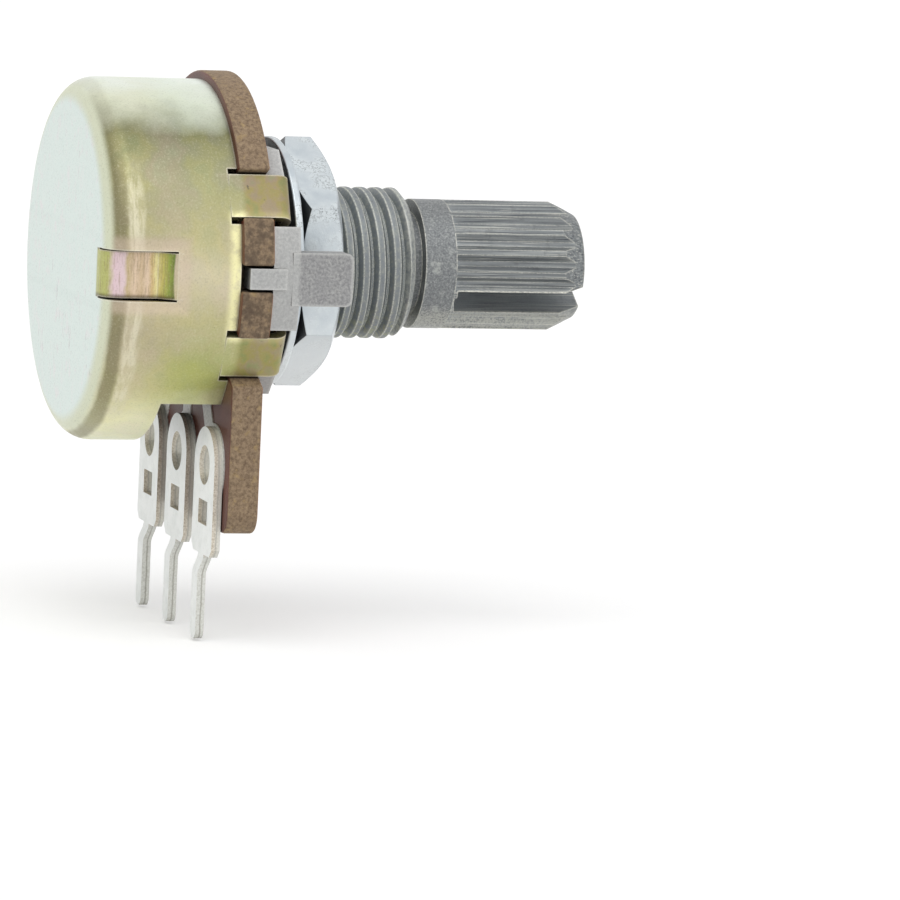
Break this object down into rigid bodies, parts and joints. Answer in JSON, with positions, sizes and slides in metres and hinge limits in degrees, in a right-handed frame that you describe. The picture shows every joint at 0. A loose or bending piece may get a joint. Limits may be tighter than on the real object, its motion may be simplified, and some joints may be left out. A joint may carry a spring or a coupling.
{
  "type": "rotary potentiometer",
  "caption": "Panel potentiometer with a splined, split shaft, threaded bush with nut and washer, locating lug, crimped dust cover and solder pins in a row.",
  "frame": {"origin": "centre of the shaft in the plane of the casting's raised pads, which seat on a panel", "axes": "-Y along the shaft towards the knob, -Z down along the solder pins, -X towards the locating lug"},
  "size_m": [0.0174, 0.0242, 0.0255],
  "materials": {
    "cover_steel": "zinc plated and yellow passivated",
    "zinc_casting": "grainy as cast",
    "shaft_alloy": "rolled splines",
    "spring_steel": "plain",
    "rotor_plastic": "moulded",
    "spring_bronze": "rolled",
    "board_laminate": "punched phenolic paper",
    "carbon_film": "printed",
    "silver_film": "printed",
    "tinned_terminal": "tinned",
    "plated_steel": "bright zinc plated"
  },
  "bodies": {
    "housing": {"dust_cover": "cover_steel", "front_plate": "zinc_casting", "track_board": "board_laminate", "resistive_track": "carbon_film", "collector_ring": "silver_film", "end_pads": "silver_film", "terminal_1": "tinned_terminal", "terminal_2": "tinned_terminal", "terminal_3": "tinned_terminal"},
    "turning_shaft": {"shaft": "shaft_alloy", "retaining_ring": "spring_steel", "rotor": "rotor_plastic", "wiper": "spring_bronze"},
    "loose_washer": {"washer": "plated_steel"},
    "nut": {"hex_nut": "plated_steel"}
  },
  "joints": [
    {"name": "shaft_turn", "type": "hinge", "parent": "housing", "child": "turning_shaft", "pos_m": [0, 0, 0], "axis": [0, -1, 0], "range_deg": [-1, 299]},
    {"name": "nut_travel", "type": "slide", "parent": "housing", "child": "loose_washer", "axis": [0, -1, 0], "range_m": [-0.0005, 0.00394]},
    {"name": "nut_turn", "type": "hinge", "parent": "loose_washer", "child": "nut", "pos_m": [0, 0, 0], "axis": [0, -1, 0], "range_deg": [-240, 1890]}
  ],
  "couplings": [
    {"joint": "nut_turn", "follows": "nut_travel", "rad_per_m": 8377.6}
  ]
}
